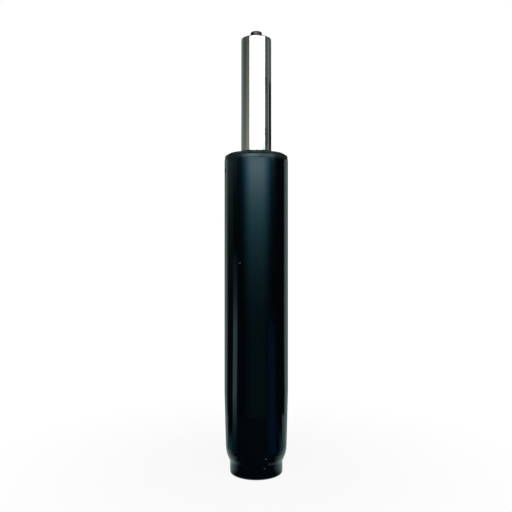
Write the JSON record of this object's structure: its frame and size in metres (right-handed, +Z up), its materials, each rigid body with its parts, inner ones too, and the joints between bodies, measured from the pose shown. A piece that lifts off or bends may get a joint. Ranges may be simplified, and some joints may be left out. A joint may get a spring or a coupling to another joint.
{
  "type": "chair gas lift",
  "caption": "Upright gas lift column of a swivel chair: black tapered column tube, chromed spindle that rises and turns, release button on top, valve, piston and bearing inside.",
  "frame": {"origin": "centre of the foot's rim, on the surface that the lift stands on", "axes": "+Z up the lift's axis, towards the release button; X and Y across it"},
  "size_m": [0.05, 0.05, 0.3462],
  "materials": {
    "black_paint": "semi-gloss black paint with a faint blue cast",
    "black_plastic": "black moulded plastic, satin",
    "chrome": "polished chrome plate with fine lengthwise lines",
    "ground_steel": "ground steel",
    "bearing_steel": "hardened and polished steel",
    "zinc_steel": "pressed steel, zinc plated",
    "spring_steel": "dark spring steel",
    "button_steel": "dark blackened steel",
    "brass": "turned brass",
    "rubber": "black rubber",
    "natural_plastic": "natural white bearing plastic"
  },
  "bodies": {
    "column": {"column_tube": "black_paint", "guide_bush": "black_plastic", "bottom_cup": "zinc_steel", "lower_race": "bearing_steel"},
    "cage": {"ball_cage": "natural_plastic", "bearing_balls": "bearing_steel"},
    "swivel": {"piston_rod": "ground_steel", "upper_race": "bearing_steel", "bump_stop": "rubber", "clip_washer": "zinc_steel", "retaining_clip": "spring_steel", "piston": "brass", "piston_seal": "rubber", "piston_band": "natural_plastic", "piston_washer": "zinc_steel"},
    "spindle": {"spindle_tube": "chrome", "inner_tube": "ground_steel", "end_washer": "zinc_steel", "rod_seal": "rubber", "seal_backing": "natural_plastic", "rod_guide": "natural_plastic", "valve_housing": "brass", "housing_seals": "rubber", "stem_seals": "rubber", "stem_spacer": "natural_plastic", "seal_retainer": "zinc_steel", "top_plug": "black_plastic"},
    "release": {"valve_pin": "ground_steel", "release_button": "button_steel"}
  },
  "joints": [
    {"name": "swivel_turn", "type": "hinge", "parent": "column", "child": "swivel", "pos_m": [0, 0, 0.0155], "axis": [0, 0, 1], "continuous": true},
    {"name": "cage_turn", "type": "hinge", "parent": "column", "child": "cage", "pos_m": [0, 0, 0.0125], "axis": [0, 0, 1], "continuous": true},
    {"name": "lift", "type": "slide", "parent": "swivel", "child": "spindle", "axis": [0, 0, 1], "range_m": [0, 0.13]},
    {"name": "button_press", "type": "slide", "parent": "spindle", "child": "release", "axis": [0, 0, -1], "range_m": [0, 0.004], "stiffness_N_per_m": 1500, "springref_m": -0.03}
  ],
  "couplings": [
    {"joint": "cage_turn", "follows": "swivel_turn", "ratio": 0.5}
  ]
}
